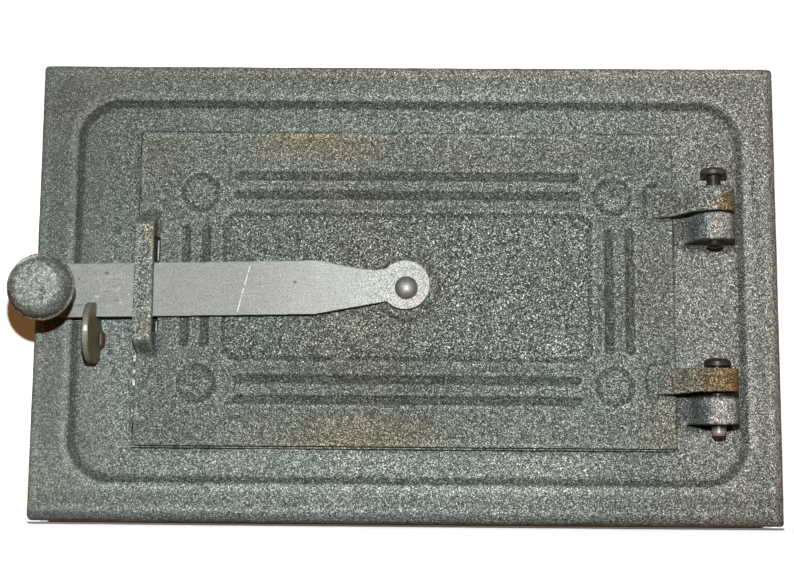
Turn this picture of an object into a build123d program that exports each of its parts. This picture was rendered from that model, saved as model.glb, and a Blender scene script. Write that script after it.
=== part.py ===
from build123d import *
import math
import os

# Cast-iron stove door (ash-pit or fire door) for a masonry opening, in millimetres.
# X to the right, Z up, the front looks along -Y. The origin is the centre of the collar
# on the wall plane, which is the rear face of the frame's turned-back rim (Y = 0).
# The frame's collar goes back into the masonry (+Y); everything else stands forward.

# ---- driving dimensions -------------------------------------------------------------
FRAME_W, FRAME_H = 324.1, 200.3        # outer size of the frame
FRAME_X, FRAME_Z = 0.3, 0.5            # its centre
FRAME_T = 8.5                          # wall plane to the front of the raised border
EDGE_R = 1.5                           # rounding of the frame's four corners, seen from the front
RIM_W = 6.5                            # width of the turned-back rim that meets the wall
HOLLOW = 3.0                           # depth of the hollow behind the flange

FIELD_W, FIELD_H, FIELD_R = 292.0, 167.6, 19.0   # stepped-down field, mid-line of its step
FIELD_X, FIELD_Z = 0.95, 0.9           # its centre
STEP = 1.7                             # depth of the step

THROAT_W, THROAT_H, THROAT_R = 208.0, 114.5, 7.0  # the hole the leaf covers
THROAT_X, THROAT_Z = 1.0, 1.25
LAND = 0.3                             # ground seat land, proud of the field
LAND_X0, LAND_X1 = -116.9, 114.6
LAND_Z0, LAND_Z1 = -67.7, 68.8

COLLAR_W, COLLAR_H, COLLAR_R = 250.0, 140.0, 10.0  # outside of the collar
COLLAR_T, COLLAR_D = 4.5, 20.0         # its wall and its length behind the wall plane
ANCHOR_R, ANCHOR_DZ, ANCHOR_Y = 3.5, 80.0, 11.5    # holes for the anchor wires

LEAF_T = 3.5                           # thickness of the leaf
LEAF_X0, LEAF_X1 = -116.2, 115.6
LEAF_Z0, LEAF_Z1 = -67.0, 69.7

GROOVE_W, GROOVE_D = 4.4, 1.25
GROOVES_H = [(50.4, -75.3, 75.4), (42.0, -75.2, 76.2), (-38.3, -74.2, 75.6), (-47.0, -74.0, 75.5)]
GROOVES_V = [(87.8, -27.0, 28.2), (96.8, -27.0, 28.2), (-86.9, -24.8, 28.7), (-95.6, -24.9, 28.7)]
DISC_R, DISC_D = 8.7, 1.0
DISCS = [(-89.7, 42.8), (89.7, 41.9), (-89.8, -40.3), (89.9, -40.4)]
PANEL_W, PANEL_H, PANEL_R, PANEL_D = 159.8, 64.3, 6.0, 1.0
PANEL_X, PANEL_Z = 0.4, 1.95

BOSS_R, BOSS_UP = 13.0, 0.9            # pivot boss, proud of the leaf
PIVOT_X, PIVOT_Z = 0.2, 0.9            # axis of the latch rivet

BAR_T, BAR_H = 3.2, 23.4               # latch bar
BAR_GAP = 0.1                          # between the boss and the bar, and the bar and the rivet head
BAR_TILT = 1.16                        # degrees that the free end hangs down at rest
BAR_MID = 0.83                         # centre line of the bar above the pivot
BAR_END = -158.2                       # free end, measured along the bar
SHOULDER_TOP, SHOULDER_BOT = -38.4, -39.4
EYE_R, EYE_X, EYE_Z = 10.7, -0.5, 1.4  # the round eye is a little off its hole

BRIDGE_W, BRIDGE_UP = 8.2, 9.0         # bar guide cast on the leaf's left edge
BRIDGE_F0, BRIDGE_F1 = -22.6, 27.4     # its front face
BRIDGE_R0, BRIDGE_R1 = -27.4, 33.0     # its root
WINDOW_Z0, WINDOW_Z1 = -18.4, 22.9
WINDOW_FRONT = 15.4                    # inside of the bridge, in front of the wall plane

HINGE_X, HINGE_UP = 131.8, 10.5        # hinge axis, and its height over the field
EYE_HINGE_R = 8.6
ARM_UP = (33.6, 44.6)                  # upper arm, bottom and top
ARM_LO = (-43.0, -32.6)                # lower arm
KNUCKLE_UP = (21.2, 33.1)              # upper knuckle
KNUCKLE_LO = (-56.6, -44.2)            # lower knuckle
DROP_UP, DROP_LO = 1.5, 0.9            # how far each arm's root reaches below its eye
PIN_R, PIN_FIT = 3.0, 0.08             # hinge pins and their radial clearance
PIN_UP_L, PIN_LO_L = 31.2, 29.6         # shank lengths: the upper one is peened over below its knuckle
PIN_HEAD_R, PIN_HEAD_T = 5.6, 3.5
PIN_UP_Z, PIN_LO_Z = 49.6, -32.0       # underside of each pin's head

KEEPER_X0, KEEPER_T = -135.2, 3.1
KEEPER_FLOOR, KEEPER_NOSE = -12.85, 8.4

KNOB_X, KNOB_Z = -148.6, -2.9          # axis of the knob
KNOB_R = 13.9
KNOB_EQ = 42.4                         # its widest ring, in front of the wall plane

RIVET_R, RIVET_HEAD_R, RIVET_HEAD_T = 3.0, 4.95, 2.9
WASHER_R, WASHER_T = 7.0, 1.5

# ---- derived planes (all negative Y is in front of the wall) -------------------------
Y_BORDER = -FRAME_T
Y_FIELD = Y_BORDER + STEP
Y_LAND = Y_FIELD - LAND
Y_LEAF = Y_LAND - LEAF_T
Y_PANEL = Y_LEAF + PANEL_D
Y_BOSS = Y_LEAF - BOSS_UP
Y_BAR_BACK = Y_BOSS - BAR_GAP
Y_BAR = Y_BAR_BACK - BAR_T
Y_HINGE = Y_FIELD - HINGE_UP
Y_BRIDGE = Y_LEAF - BRIDGE_UP


def facing(y, x=0.0, z=0.0):
    """A plane that looks to the front: its x is X, its y is Z."""
    return Plane(origin=(x, y, z), x_dir=(1, 0, 0), z_dir=(0, -1, 0))


def slab(w, h, r, y0, y1, x=0.0, z=0.0):
    """Rounded plate from y0 forward to y1."""
    return extrude(facing(y0, x, z) * RectangleRounded(w, h, r), y0 - y1)


def box(x0, x1, y0, y1, z0, z1):
    return Pos((x0 + x1) / 2, (y0 + y1) / 2, (z0 + z1) / 2) * Box(x1 - x0, y1 - y0, z1 - z0)


def stack(sections):
    """Ruled solid through flat sections, which gives moulded steps and rounded edges."""
    return loft(sections, ruled=True)


def rod(r, x, z, y0, y1):
    """Round bar along Y from y0 forward to y1."""
    return extrude(facing(y0, x, z) * Circle(r), y0 - y1)


def post(r, x, y, z0, z1):
    """Round bar along Z."""
    return extrude(Plane(origin=(x, y, z0)) * Circle(r), z1 - z0)


def tangent(px, py, cx, cy, r, side):
    """Point where the line from P touches a circle, on the left (+1) or right (-1) of P to C."""
    d = math.hypot(cx - px, cy - py)
    a = math.atan2(cy - py, cx - px)
    b = math.asin(r / d)
    t = math.sqrt(d * d - r * r)
    return px + t * math.cos(a + side * b), py + t * math.sin(a + side * b)


def plan(points, z0, z1):
    """Upright prism on a closed outline in X and Y."""
    return extrude(Plane(origin=(0, 0, z0)) * make_face(Polyline(*points, close=True)), z1 - z0)


# ---- frame: one iron casting -----------------------------------------------------------
# the border turns round its edge, wider along the right and the bottom than along the left and the top
edge = [(0.0, 0.0, 0.0), (0.0, 0.1, 3.2), (0.0, 0.45, 4.4), (0.05, 1.05, 5.5), (0.3, 1.9, 6.5),
        (0.8, 2.9, 7.3), (1.5, 3.9, 7.9), (2.6, 5.0, 8.3), (4.6, 6.8, 8.5)]
frame = stack([
    facing(-y, FRAME_X + (a - b) / 2, FRAME_Z + (b - a) / 2) * RectangleRounded(FRAME_W - a - b, FRAME_H - a - b, EDGE_R + 0.2 * (a + b))
    for a, b, y in edge
])

# stepped-down field with a moulded step
step = [(2.1, -0.6), (2.1, 0.0), (1.2, 0.14), (0.6, 0.42), (0.0, 0.85), (-0.6, 1.28), (-1.2, 1.56), (-2.1, 1.7)]
frame -= stack([
    facing(Y_BORDER + d, FIELD_X, FIELD_Z)
    * RectangleRounded(FIELD_W + 2 * o, FIELD_H + 2 * o, FIELD_R + o)
    for o, d in step
])

# ground land that the leaf closes on
frame += box(LAND_X0, LAND_X1, Y_LAND, Y_FIELD + 1.0, LAND_Z0, LAND_Z1)

# hollow behind the flange, then the collar that is built into the masonry
frame -= slab(FRAME_W - 2 * RIM_W, FRAME_H - 2 * RIM_W, 4.0, 2.0, -HOLLOW, FRAME_X, FRAME_Z)
frame += slab(COLLAR_W, COLLAR_H, COLLAR_R, COLLAR_D, -HOLLOW - 1.0)
frame -= slab(COLLAR_W - 2 * COLLAR_T, COLLAR_H - 2 * COLLAR_T, COLLAR_R - COLLAR_T, COLLAR_D + 1.0, -HOLLOW)
frame -= slab(THROAT_W, THROAT_H, THROAT_R, 2.0, Y_LAND - 2.0, THROAT_X, THROAT_Z)
for z in (-ANCHOR_DZ / 2, ANCHOR_DZ / 2):
    frame -= extrude(Plane(origin=(-COLLAR_W / 2 - 2, ANCHOR_Y, z), z_dir=(1, 0, 0)) * Circle(ANCHOR_R), COLLAR_W + 4)


# hinge knuckles: round at the pin, with straight cheeks that widen into the field. The left shoulder
# slopes down to clear the arm's deeper root.
def knuckle(z0, z1, drop):
    root_l, root_r = (119.3, Y_FIELD + 1.5), (141.2, Y_FIELD + 1.5)
    tl = tangent(*root_l, HINGE_X, Y_HINGE, EYE_HINGE_R, -1)
    tr = tangent(*root_r, HINGE_X, Y_HINGE, EYE_HINGE_R, 1)
    cheeks = plan([root_l, tl, (HINGE_X, Y_HINGE), tr, root_r], z0, z1)
    k = cheeks + post(EYE_HINGE_R, HINGE_X, Y_HINGE, z0, z1)
    rims = [
        e for e in k.edges()
        if (abs(e.center().Z - z0) < 1e-3 or abs(e.center().Z - z1) < 1e-3)
        and e.center().Y < Y_FIELD + 1.4
    ]
    k = fillet(rims, 0.9)
    # draft at the root: the knuckle is a little deeper where it grows out of the field
    skirt = stack([
        Plane(origin=(0, Y_FIELD + 1.2, 0), x_dir=(1, 0, 0), z_dir=(0, -1, 0))
        * Pos(130.2, (z0 + z1) / 2) * RectangleRounded(24.6, z1 - z0 + 1.8, 1.2),
        Plane(origin=(0, Y_FIELD - 0.5, 0), x_dir=(1, 0, 0), z_dir=(0, -1, 0))
        * Pos(130.2, (z0 + z1) / 2) * RectangleRounded(22.4, z1 - z0 + 0.4, 1.0),
        Plane(origin=(0, Y_FIELD - 1.6, 0), x_dir=(1, 0, 0), z_dir=(0, -1, 0))
        * Pos(130.3, (z0 + z1) / 2) * RectangleRounded(20.4, z1 - z0 - 0.8, 0.9),
    ])
    k += skirt
    shoulder = extrude(facing(Y_FIELD - 0.1) * make_face(Polyline(
        (114.0, z1 - drop - 0.3), (122.4, z1 - 0.15), (122.4, z1 + 3), (114.0, z1 + 3), close=True)), 16)
    return k - shoulder


for z0, z1, drop in ((*KNUCKLE_UP, DROP_UP), (*KNUCKLE_LO, DROP_LO + 0.9)):
    frame += knuckle(z0, z1, drop)
    frame -= post(PIN_R + PIN_FIT, HINGE_X, Y_HINGE, z0 - 3, z1 + 3)

# slot for the keeper's tenon
TENON_Z0, TENON_Z1 = -27.0, -15.5
frame -= box(KEEPER_X0, KEEPER_X0 + KEEPER_T, Y_FIELD - 1, 1.0, TENON_Z0, TENON_Z1)

# ---- keeper: steel plate with an open notch for the bar, tenoned into the frame --------
def kp(h, z):
    return (KEEPER_X0, Y_FIELD - h, z)


nose_top = kp(KEEPER_NOSE + 1.2, -6.6)
curve = [kp(11.6, -6.55), kp(14.6, -7.3), kp(18.6, -10.1), kp(21.0, -14.0), kp(22.0, -18.6),
         kp(21.4, -23.4), kp(18.9, -28.0), kp(14.6, -31.3), kp(9.4, -32.5), kp(4.0, -31.9), kp(0.0, -30.2)]
outline = [
    Line(kp(0, -30.2), kp(0, KEEPER_FLOOR)),
    Line(kp(0, KEEPER_FLOOR), kp(KEEPER_NOSE, KEEPER_FLOOR)),
    Line(kp(KEEPER_NOSE, KEEPER_FLOOR), kp(KEEPER_NOSE, -7.3)),
    Line(kp(KEEPER_NOSE, -7.3), nose_top),
    Line(nose_top, curve[0]),
    Spline(*curve),
]
keeper = extrude(make_face(Wire(outline)), KEEPER_T, dir=(1, 0, 0))
keeper += box(KEEPER_X0, KEEPER_X0 + KEEPER_T, Y_FIELD - 0.5, -HOLLOW + 0.9, TENON_Z0, TENON_Z1)
# bead of weld at its right root
bead_x = KEEPER_X0 + KEEPER_T - 0.5
bead = post(2.4, bead_x, Y_FIELD, -23.6, -20.0)
bead += Pos(bead_x, Y_FIELD, -23.6) * Sphere(2.4)
bead += Pos(bead_x, Y_FIELD, -20.0) * Sphere(2.4)
bead &= box(KEEPER_X0 + 1.0, KEEPER_X0 + KEEPER_T + 6, Y_FIELD - 6, Y_FIELD, -30, -12)
keeper += bead

# ---- leaf: one iron casting --------------------------------------------------------------
leaf_w, leaf_h = LEAF_X1 - LEAF_X0, LEAF_Z1 - LEAF_Z0
leaf_x, leaf_z = (LEAF_X0 + LEAF_X1) / 2, (LEAF_Z0 + LEAF_Z1) / 2
leaf = stack([
    facing(Y_LAND - d, leaf_x, leaf_z) * RectangleRounded(leaf_w - 2 * o, leaf_h - 2 * o, 1.2)
    for o, d in [(0.0, 0.0), (0.0, LEAF_T - 0.6), (0.15, LEAF_T - 0.2), (0.6, LEAF_T)]
])

# sunk panel, discs and grooves, all with moulded edges
leaf -= stack([
    facing(Y_LEAF + d, PANEL_X, PANEL_Z)
    * RectangleRounded(PANEL_W + 2 * o, PANEL_H + 2 * o, PANEL_R + o)
    for o, d in [(1.1, -0.5), (1.1, 0.0), (0.5, 0.14), (0.0, 0.5), (-0.5, 0.86), (-1.1, PANEL_D)]
])
for x, z in DISCS:
    leaf -= stack([
        facing(Y_LEAF + d, x, z) * Circle(DISC_R + o)
        for o, d in [(0.6, -0.5), (0.6, 0.0), (0.1, 0.2), (-0.3, 0.6), (-0.8, 0.9), (-1.5, DISC_D)]
    ])
groove = [(0.35, -0.5), (0.35, 0.0), (0.0, 0.15), (-0.4, 0.6), (-0.9, 1.0), (-1.6, GROOVE_D)]
for z, x0, x1 in GROOVES_H:
    leaf -= stack([
        facing(Y_LEAF + d, (x0 + x1) / 2, z) * SlotOverall(x1 - x0 + 2 * o, GROOVE_W + 2 * o)
        for o, d in groove
    ])
for x, z0, z1 in GROOVES_V:
    leaf -= stack([
        facing(Y_LEAF + d, x, (z0 + z1) / 2) * Rot(0, 0, 90) * SlotOverall(z1 - z0 + 2 * o, GROOVE_W + 2 * o)
        for o, d in groove
    ])

# pivot boss
leaf += stack([
    facing(y, PIVOT_X, PIVOT_Z) * Circle(BOSS_R + o)
    for o, y in [(0.9, Y_PANEL + 0.5), (0.9, Y_PANEL), (0.35, Y_PANEL - 0.35), (0.15, Y_BOSS + 0.5), (-0.1, Y_BOSS + 0.15), (-0.5, Y_BOSS)]
])
leaf -= rod(RIVET_R + 0.05, PIVOT_X, PIVOT_Z, Y_LAND + 2, Y_BOSS - 2)


# bridge: its ends slope down to the leaf, and the bar runs through its window
def bp(x, y, z):
    return (x, y, z)


side = make_face(Polyline(
    bp(LEAF_X0, Y_LAND - 0.6, BRIDGE_R0), bp(LEAF_X0, Y_LEAF, BRIDGE_R0), bp(LEAF_X0, Y_BRIDGE, BRIDGE_F0),
    bp(LEAF_X0, Y_BRIDGE, BRIDGE_F1), bp(LEAF_X0, Y_LEAF, BRIDGE_R1), bp(LEAF_X0, Y_LAND - 0.6, BRIDGE_R1), close=True))
bridge = extrude(side, BRIDGE_W, dir=(1, 0, 0))
rounded = [e for e in bridge.edges() if e.center().Y < Y_LEAF - 1.5]
bridge = fillet(rounded, 0.8)
leaf += bridge
leaf -= box(LEAF_X0 - 2, LEAF_X0 + BRIDGE_W + 1.0, -WINDOW_FRONT, Y_LAND + 2, WINDOW_Z0, WINDOW_Z1)


# hinge arms: they rise out of the leaf in a long ramp to the eye over the knuckle, and reach lower at the root
def arm(z0, z1, drop):
    front_t = tangent(103.5, Y_LEAF, HINGE_X, Y_HINGE, EYE_HINGE_R, -1)
    rear = (110.0, Y_LAND - 0.8)
    rear_t = tangent(*rear, HINGE_X, Y_HINGE, EYE_HINGE_R, 1)
    body = plan([rear, (99.0, Y_LEAF + 1.2), (103.5, Y_LEAF), front_t, (HINGE_X, Y_HINGE), rear_t], z0, z1)
    k = body + post(EYE_HINGE_R, HINGE_X, Y_HINGE, z0, z1)
    rims = [
        e for e in k.edges()
        if (abs(e.center().Z - z0) < 1e-3 or abs(e.center().Z - z1) < 1e-3) and e.center().X > 111
    ]
    k = fillet(rims, 0.9)
    # the root: the same ramp, deeper in height, and cut back before it reaches the knuckle
    rise = (front_t[1] - Y_LEAF) / (front_t[0] - 103.5)
    ramp = plan([(110.0, Y_LAND - 0.8), (97.0, Y_LEAF + 1.2), (103.5, Y_LEAF + 0.05), (121.0, Y_LEAF + rise * 17.5 + 0.2),
                 (121.0, Y_LAND - 2.4)], z0 - drop, z1 + 0.9)
    shape = extrude(facing(0.0) * make_face(Polyline(
        (96.0, z0 - drop + 0.3), (100.0, z0 - drop), (113.2, z0 - drop + 0.1), (115.5, z0 - 0.78 * drop), (121.0, z0 - 0.12 * drop), (121.0, z1 - 0.6),
        (116.0, z1 + 0.1), (110.0, z1 + 0.9), (96.0, z1 + 0.9), close=True)), 40)
    return k + (ramp & shape)


for z0, z1, drop in ((*ARM_UP, DROP_UP), (*ARM_LO, DROP_LO)):
    leaf += arm(z0, z1, drop)
    leaf -= post(PIN_R + PIN_FIT, HINGE_X, Y_HINGE, z0 - 4, z1 + 4)

# ---- hinge pins: headed, loose in arm and knuckle -----------------------------------------
def hinge_pin(z_head, shank, tail):
    """tail: (radius, height above the pin's end) from the shank down to the end."""
    z_end = z_head - shank
    half = make_face(Polyline(
        (0, 0, z_end), *[(r, 0, z_end + h) for r, h in tail], (PIN_R, 0, z_head),
        (PIN_HEAD_R - 0.3, 0, z_head), (PIN_HEAD_R, 0, z_head + 0.4), (PIN_HEAD_R, 0, z_head + 2.0),
        (PIN_HEAD_R - 0.35, 0, z_head + 2.7), (PIN_HEAD_R - 1.3, 0, z_head + 3.25), (PIN_HEAD_R - 2.8, 0, z_head + PIN_HEAD_T),
        (0, 0, z_head + PIN_HEAD_T), close=True))
    return Pos(HINGE_X, Y_HINGE, 0) * revolve(half, Axis.Z)


pin_up = hinge_pin(PIN_UP_Z, PIN_UP_L, [(1.2, 0.08), (2.2, 0.35), (3.0, 0.85), (3.55, 1.45), (3.7, 1.9), (3.6, 2.25), (PIN_R, 2.4)])
pin_lo = hinge_pin(PIN_LO_Z, PIN_LO_L, [(1.7, 0.0), (2.2, 0.2), (2.7, 0.9), (PIN_R, 1.9)])

# ---- latch bar ---------------------------------------------------------------------------
# drawn with the pivot at 0, 0 and the free end to the left, then hung down by its tilt
half_h = BAR_H / 2
top, bot = BAR_MID + half_h, BAR_MID - half_h
strip = make_face(Polyline(
    (BAR_END + 1.5, bot), (SHOULDER_BOT, bot), (-9.2, -5.9), (-2.0, -4.0), (-2.0, 8.0), (-10.2, 8.35), (-12.9, 8.0), (-18.0, 8.45), (-28.0, 10.35),
    (SHOULDER_TOP + 3.2, top - 0.35), (SHOULDER_TOP, top), (BAR_END + 1.5, top), (BAR_END, top - 1.5), (BAR_END, bot + 1.5), close=True))
flat = strip + Pos(EYE_X, EYE_Z) * Circle(EYE_R)
flat -= Circle(RIVET_R + 0.1)
knob_u = (KNOB_X - PIVOT_X) * math.cos(math.radians(-BAR_TILT)) + (KNOB_Z - PIVOT_Z) * math.sin(math.radians(-BAR_TILT))
tilt = Rot(0, 0, BAR_TILT)
bar = extrude(facing(Y_BAR_BACK, PIVOT_X, PIVOT_Z) * tilt * flat, BAR_T)
TENON_R = 3.0
bar -= rod(TENON_R + 0.03, KNOB_X, KNOB_Z, Y_BAR_BACK + 1, Y_BAR - 1)

# ---- knob: flattened ball with its casting ring, on a waisted neck with a riveted tenon ---
ring = KNOB_EQ
dome = Spline((13.35, 0, ring + 1.0), (13.0, 0, ring + 3.6), (11.9, 0, ring + 6.2), (9.7, 0, ring + 8.2), (6.4, 0, ring + 9.2), (3.0, 0, ring + 9.45), (0, 0, ring + 9.45),
              tangents=((0, 0, 1), (-1, 0, 0)))
under = Spline((13.35, 0, ring - 1.0), (12.7, 0, ring - 3.9), (10.6, 0, ring - 6.7), (7.6, 0, ring - 9.4), (5.9, 0, ring - 13.2), (5.6, 0, ring - 18.2), (6.4, 0, ring - 23.0))
y_bar, y_back = -Y_BAR, -Y_BAR_BACK
prof = [
    dome,
    Line((13.35, 0, ring + 1.0), (KNOB_R - 0.1, 0, ring + 0.7)),
    Line((KNOB_R - 0.1, 0, ring + 0.7), (KNOB_R, 0, ring)),
    Line((KNOB_R, 0, ring), (KNOB_R - 0.1, 0, ring - 0.7)),
    Line((KNOB_R - 0.1, 0, ring - 0.7), (13.35, 0, ring - 1.0)),
    under,
    Line((6.4, 0, ring - 23.0), (7.2, 0, y_bar + 2.2)),
    Line((7.2, 0, y_bar + 2.2), (7.2, 0, y_bar)),
    Line((7.2, 0, y_bar), (TENON_R, 0, y_bar)),
    Line((TENON_R, 0, y_bar), (TENON_R, 0, y_back)),
    Line((TENON_R, 0, y_back), (4.3, 0, y_back)),
    Line((4.3, 0, y_back), (4.0, 0, y_back - 0.8)),
    Line((4.0, 0, y_back - 0.8), (2.4, 0, y_back - 1.4)),
    Line((2.4, 0, y_back - 1.4), (0, 0, y_back - 1.5)),
    Line((0, 0, y_back - 1.5), (0, 0, ring + 9.45)),
]
knob = revolve(make_face(Wire(prof)), Axis.Z)
# its own axis (local Z) points to the front
knob = Plane(origin=(KNOB_X, 0, KNOB_Z), x_dir=(1, 0, 0), z_dir=(0, -1, 0)).location * knob

# ---- rivet and washer ----------------------------------------------------------------------
y_head = -(Y_BAR - BAR_GAP)            # underside of the head, in front of the wall plane
y_wash = -(Y_LAND + WASHER_T)          # back of the washer


def crown(r, z, rise):
    """Arc from the rim of a spherical cap to its top, its centre on the axis."""
    big = (r * r + rise * rise) / (2 * abs(rise))
    half = math.asin(r / big) / 2
    up = 1 if rise > 0 else -1
    centre = z + rise - up * big
    return ThreePointArc((r, 0, z), (big * math.sin(half), 0, centre + up * big * math.cos(half)), (0, 0, z + rise))


cap = crown(RIVET_HEAD_R, y_head + 0.5, RIVET_HEAD_T - 0.5)
tail = crown(4.3, y_wash, -1.9)
rprof = [
    cap,
    Line((0, 0, y_head + RIVET_HEAD_T), (0, 0, y_wash - 1.9)),
    tail,
    Line((4.3, 0, y_wash), (RIVET_R, 0, y_wash)),
    Line((RIVET_R, 0, y_wash), (RIVET_R, 0, y_head)),
    Line((RIVET_R, 0, y_head), (RIVET_HEAD_R, 0, y_head)),
    Line((RIVET_HEAD_R, 0, y_head), (RIVET_HEAD_R, 0, y_head + 0.5)),
]
rivet = revolve(make_face(Wire(rprof)), Axis.Z)
rivet = Plane(origin=(PIVOT_X, 0, PIVOT_Z), x_dir=(1, 0, 0), z_dir=(0, -1, 0)).location * rivet

washer = extrude(facing(Y_LAND + WASHER_T, PIVOT_X, PIVOT_Z) * (Circle(WASHER_R) - Circle(RIVET_R + 0.05)), WASHER_T)

# ---- one file for each piece ------------------------------------------------------------------
os.makedirs("parts", exist_ok=True)
pieces = {
    "door_frame": frame,
    "keeper_hook": keeper,
    "hinge_pin_upper": pin_up,
    "hinge_pin_lower": pin_lo,
    "door_leaf": leaf,
    "latch_rivet": rivet,
    "rivet_washer": washer,
    "latch_bar": bar,
    "latch_knob": knob,
}
for name, shape in pieces.items():
    export_step(shape, f"parts/{name}.step")
    print(name, len(shape.solids()), round(shape.volume, 1), shape.is_valid)
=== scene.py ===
import math

import bmesh
import bpy
import numpy as np
from mathutils import Matrix, Vector


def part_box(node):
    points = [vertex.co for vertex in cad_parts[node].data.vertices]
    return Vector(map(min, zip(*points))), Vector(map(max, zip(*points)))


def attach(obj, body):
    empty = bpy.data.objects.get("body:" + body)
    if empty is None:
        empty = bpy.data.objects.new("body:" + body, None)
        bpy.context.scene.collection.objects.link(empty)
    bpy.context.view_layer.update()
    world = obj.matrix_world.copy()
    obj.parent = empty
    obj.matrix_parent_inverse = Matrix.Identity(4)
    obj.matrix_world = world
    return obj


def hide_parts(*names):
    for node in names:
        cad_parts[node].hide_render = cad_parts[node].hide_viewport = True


# The stove door as it hangs in its wall: +X right, +Y into the wall, +Z up. Lengths in this script are
# millimetres unless they go straight to Blender.
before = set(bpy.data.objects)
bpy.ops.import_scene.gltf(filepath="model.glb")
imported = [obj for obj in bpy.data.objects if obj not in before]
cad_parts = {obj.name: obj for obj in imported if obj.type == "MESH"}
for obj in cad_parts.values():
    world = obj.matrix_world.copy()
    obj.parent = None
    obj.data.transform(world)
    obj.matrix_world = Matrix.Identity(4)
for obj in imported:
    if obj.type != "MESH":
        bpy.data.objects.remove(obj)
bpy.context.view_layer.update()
scene = bpy.context.scene

LAND = (-116.9, 114.6, -67.7, 68.8)      # the ground seat under the leaf: left, right, bottom, top
LEAF = (-116.2, 115.6, -67.0, 69.7)      # the leaf's outline
HINGE = (131.8, -17.3)                   # X and Y of the hinge pins
PIVOT = (0.2, 0.9)                       # X and Z of the latch rivet
KNOB = (-148.6, -2.9)                    # X and Z of the knob's axis


# ---------------------------------------------------------------- camera, lights, stage

def place_camera():
    data = bpy.data.cameras.new("camera")
    data.sensor_width = 36.0
    data.lens = 1250.0 / 794.0 * 36.0
    data.clip_start, data.clip_end = 0.05, 20.0
    ob = bpy.data.objects.new("camera", data)
    scene.collection.objects.link(ob)
    pitch, yaw, roll = (math.radians(a) for a in (6.814, 0.634, -0.462))
    turn = Matrix.Rotation(yaw, 3, "Z")
    ahead = turn @ Vector((0, math.cos(pitch), math.sin(pitch)))
    down = turn @ Vector((0, math.sin(pitch), -math.cos(pitch)))
    right = turn @ Vector((1, 0, 0))
    right, down = math.cos(roll) * right + math.sin(roll) * down, math.cos(roll) * down - math.sin(roll) * right
    rotation = Matrix((right, -down, -ahead)).transposed()
    ob.matrix_world = Matrix.Translation((0.00211, -0.54663, -0.06081)) @ rotation.to_4x4()
    scene.camera = ob


def area_light(name, place, aim, size, power, colour, shape="RECTANGLE", size_y=None):
    data = bpy.data.lights.new(name, "AREA")
    data.shape = shape
    data.size = size
    if size_y:
        data.size_y = size_y
    data.energy = power
    data.color = colour
    ob = bpy.data.objects.new(name, data)
    scene.collection.objects.link(ob)
    ob.location = place
    ob.rotation_euler = (Vector(aim) - Vector(place)).to_track_quat("-Z", "Y").to_euler()
    return ob


def light_it(lit_by_lamps):
    # a small flash straight above the lens, a weak warm lamp from the right, and a soft light for the back
    area_light("flash", (-0.002, -0.545, 0.021), (0.004, 0, -0.012), 0.013, 5.4, (0.97, 1.0, 0.995), "DISK")
    for lamp in (area_light("warm_side", (0.75, -0.45, 0.15), (0.1, 0, 0), 0.5, 1.1, (1.0, 0.80, 0.58), size_y=0.7),
                 area_light("soft_back", (-0.7, 0.95, 0.75), (0, 0, 0), 1.1, 24.0, (1.0, 0.98, 0.95), size_y=0.8)):
        lamp.light_linking.receiver_collection = lit_by_lamps
    world = bpy.data.worlds.new("room")
    scene.world = world
    world.use_nodes = True
    nt = world.node_tree
    white = nt.nodes["Background"]
    white.inputs["Color"].default_value = (1, 1, 1, 1)
    white.inputs["Strength"].default_value = 1.0
    warm = nt.nodes.new("ShaderNodeBackground")
    warm.inputs["Color"].default_value = (1.0, 0.42, 0.09, 1)
    warm.inputs["Strength"].default_value = 0.20
    path = nt.nodes.new("ShaderNodeLightPath")
    either = nt.nodes.new("ShaderNodeMixShader")
    nt.links.new(path.outputs["Is Camera Ray"], either.inputs[0])
    nt.links.new(warm.outputs[0], either.inputs[1])
    nt.links.new(white.outputs[0], either.inputs[2])
    nt.links.new(either.outputs[0], nt.nodes["World Output"].inputs[0])


def stage_plane(name, corners):
    me = bpy.data.meshes.new(name)
    me.from_pydata(corners, [], [tuple(range(len(corners)))])
    ob = bpy.data.objects.new(name, me)
    scene.collection.objects.link(ob)
    mat = bpy.data.materials.new(name)
    mat.use_nodes = True
    nt = mat.node_tree
    paint = nt.nodes["Principled BSDF"]
    paint.inputs["Base Color"].default_value = (0.86, 0.86, 0.85, 1)
    paint.inputs["Roughness"].default_value = 1.0
    me.materials.append(mat)
    return ob, nt


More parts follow.
